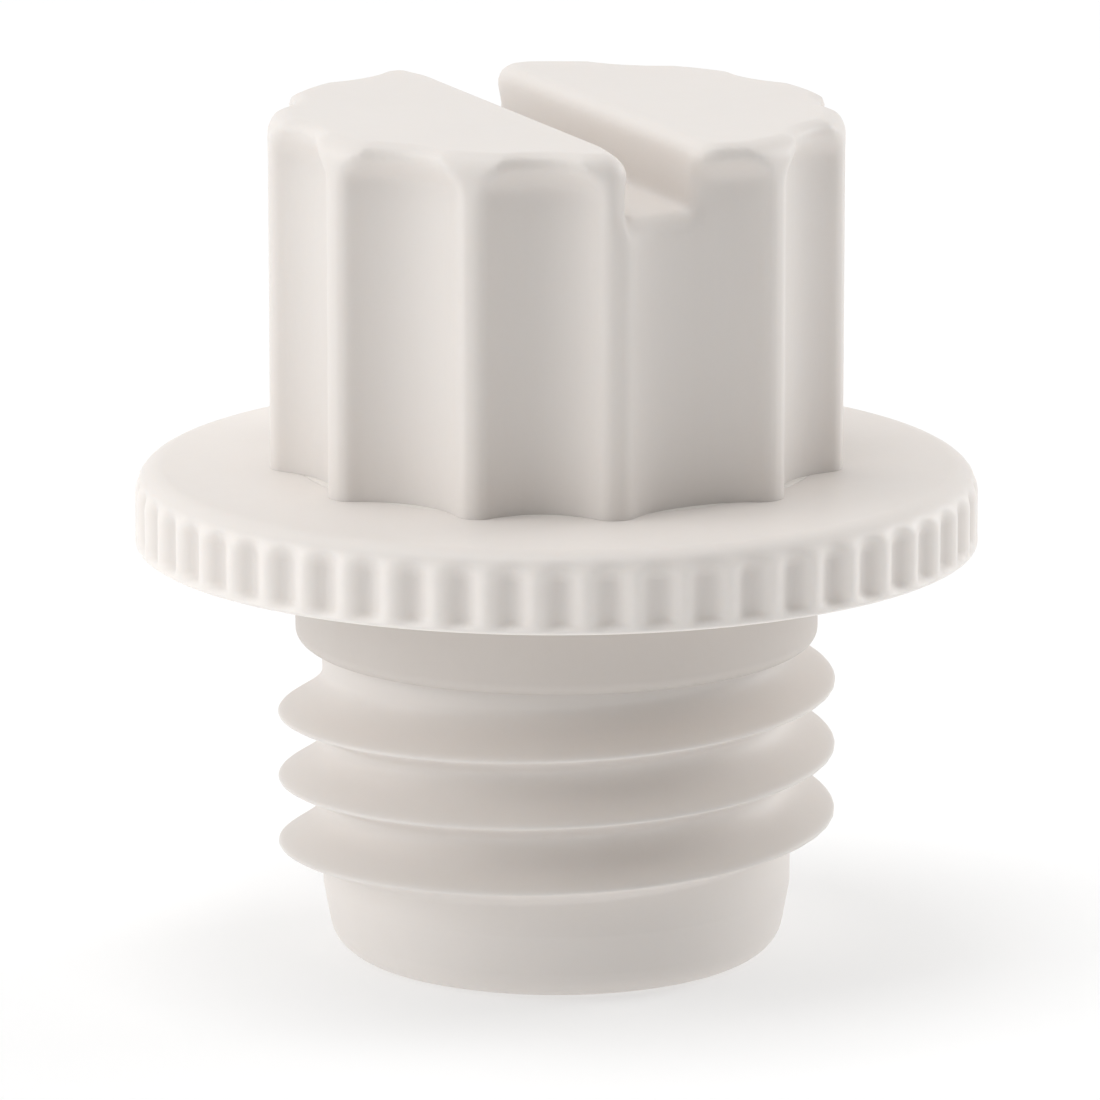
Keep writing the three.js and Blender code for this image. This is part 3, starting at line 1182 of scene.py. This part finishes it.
class WALLANCHOR_OT_studio(bpy.types.Operator):
    """Sets up the floor, the lights and the camera."""

    bl_idname = "wallanchor.studio"
    bl_label = "Studio"

    def execute(self, context):
        settings = context.scene.anchor_studio
        floor = self.add_floor(settings)
        lights = self.add_lights(settings)
        self.add_world()
        self.add_camera(settings)
        scene = context.scene
        scene.view_settings.view_transform = "Standard"
        scene.view_settings.look = "None"
        return {"FINISHED"}

    def add_floor(self, settings):
        side = 3.0  # metres from the axis to each edge
        mesh = bpy.data.meshes.new("studio_floor")
        corners = [(-side, -side, 0), (side, -side, 0), (side, side, 0), (-side, side, 0)]
        mesh.from_pydata(corners, [], [(0, 1, 2, 3)])
        mesh.materials.append(floor_paper(settings.floor, settings.floor_glow))
        floor = bpy.data.objects.new("studio_floor", mesh)
        bpy.context.scene.collection.objects.link(floor)
        return floor

    def add_lights(self, settings):
        """A large light at the left, one behind on the right and one above, all soft."""
        plan = [  # name, place and size in metres, power
            ("key_light", (-0.74, -0.12, 0.28), 0.50, settings.key_power),
            ("back_light", (0.70, 0.35, 0.25), 0.40, settings.key_power * 1.2),
            ("top_light", (-0.08, -0.05, 0.80), 0.45, settings.key_power * 1.15),
        ]
        lights = []
        for name, place, size, power in plan:
            data = bpy.data.lights.new(name, "AREA")
            data.energy = power
            data.size = size
            light = bpy.data.objects.new(name, data)
            light.location = place
            aim = Vector((0, 0, 18.0 * MM)) - Vector(place)
            light.rotation_euler = aim.to_track_quat("-Z", "Y").to_euler()
            bpy.context.scene.collection.objects.link(light)
            lights.append(light)
        return lights

    def add_world(self):
        """White surroundings, brighter behind the part, at its left and above it."""
        world = bpy.data.worlds.new("Studio")
        world.use_nodes = True
        board = Board(world.node_tree)
        background = world.node_tree.nodes["Background"]
        background.inputs["Color"].default_value = (1.0, 1.0, 1.0, 1.0)
        direction = board.wire("ShaderNodeTexCoord", None, None, "Generated")
        x, y, z = board.split(direction)
        level, behind, left, above = 0.47, 0.30, 0.14, 0.12
        strength = level + behind * y - left * x + above * z
        world.node_tree.links.new(strength.socket, background.inputs["Strength"])
        bpy.context.scene.world = world

    def add_camera(self, settings):
        """A long lens at the part's height, a little above it."""
        data = bpy.data.cameras.new("studio_camera")
        data.sensor_width = 36.0
        data.lens = data.sensor_width * settings.distance / settings.frame_height
        data.clip_start = 0.01
        data.clip_end = 20.0
        camera = bpy.data.objects.new("studio_camera", data)
        left_of_axis = 0.263 * MM
        target = Vector((-left_of_axis, 0.0, settings.aim_height))
        away = Vector((0.0, -math.cos(settings.elevation), math.sin(settings.elevation)))
        camera.location = target + away * settings.distance
        camera.rotation_euler = (-away).to_track_quat("-Z", "Y").to_euler()
        bpy.context.scene.collection.objects.link(camera)
        bpy.context.scene.camera = camera


class WALLANCHOR_PT_panel(bpy.types.Panel):
    """Lists the pieces and their sizes."""

    bl_idname = "WALLANCHOR_PT_panel"
    bl_label = "Wall Anchor"
    bl_space_type = "VIEW_3D"
    bl_region_type = "UI"
    bl_category = "Wall Anchor"

    def draw(self, context):
        for operator in OPERATORS:
            self.layout.operator(operator.bl_idname)
        for group, label in GROUPS.items():
            box = self.layout.box()
            box.label(text=label)
            sizes = getattr(context.scene, group)
            for name in sizes.__annotations__:
                box.prop(sizes, name)


OPERATORS = (
    WALLANCHOR_OT_body,
    WALLANCHOR_OT_seal,
    WALLANCHOR_OT_insert,
    WALLANCHOR_OT_washer,
    WALLANCHOR_OT_stud,
    WALLANCHOR_OT_knob,
    WALLANCHOR_OT_studio,
)

PROPERTY_GROUPS = {
    "anchor_body_sizes": BodySizes,
    "anchor_knob_sizes": KnobSizes,
    "anchor_stud_sizes": StudSizes,
    "anchor_colours": FinishColours,
    "anchor_studio": StudioSettings,
}

GROUPS = {
    "anchor_body_sizes": "Plug body",
    "anchor_knob_sizes": "Clamp knob",
    "anchor_stud_sizes": "Stud and insert",
    "anchor_colours": "Colours",
    "anchor_studio": "Studio",
}


def register():
    for attribute, group in PROPERTY_GROUPS.items():
        bpy.utils.register_class(group)
        setattr(bpy.types.Scene, attribute, bpy.props.PointerProperty(type=group))
    for operator in OPERATORS:
        bpy.utils.register_class(operator)
    bpy.utils.register_class(WALLANCHOR_PT_panel)


def unregister():
    bpy.utils.unregister_class(WALLANCHOR_PT_panel)
    for operator in reversed(OPERATORS):
        bpy.utils.unregister_class(operator)
    for attribute, group in reversed(PROPERTY_GROUPS.items()):
        delattr(bpy.types.Scene, attribute)
        bpy.utils.unregister_class(group)


def main():
    register()
    bpy.ops.wallanchor.body()
    bpy.ops.wallanchor.seal()
    bpy.ops.wallanchor.insert()
    bpy.ops.wallanchor.washer()
    bpy.ops.wallanchor.stud()
    bpy.ops.wallanchor.knob()
    bpy.ops.wallanchor.studio()


if __name__ == "__main__":
    main()
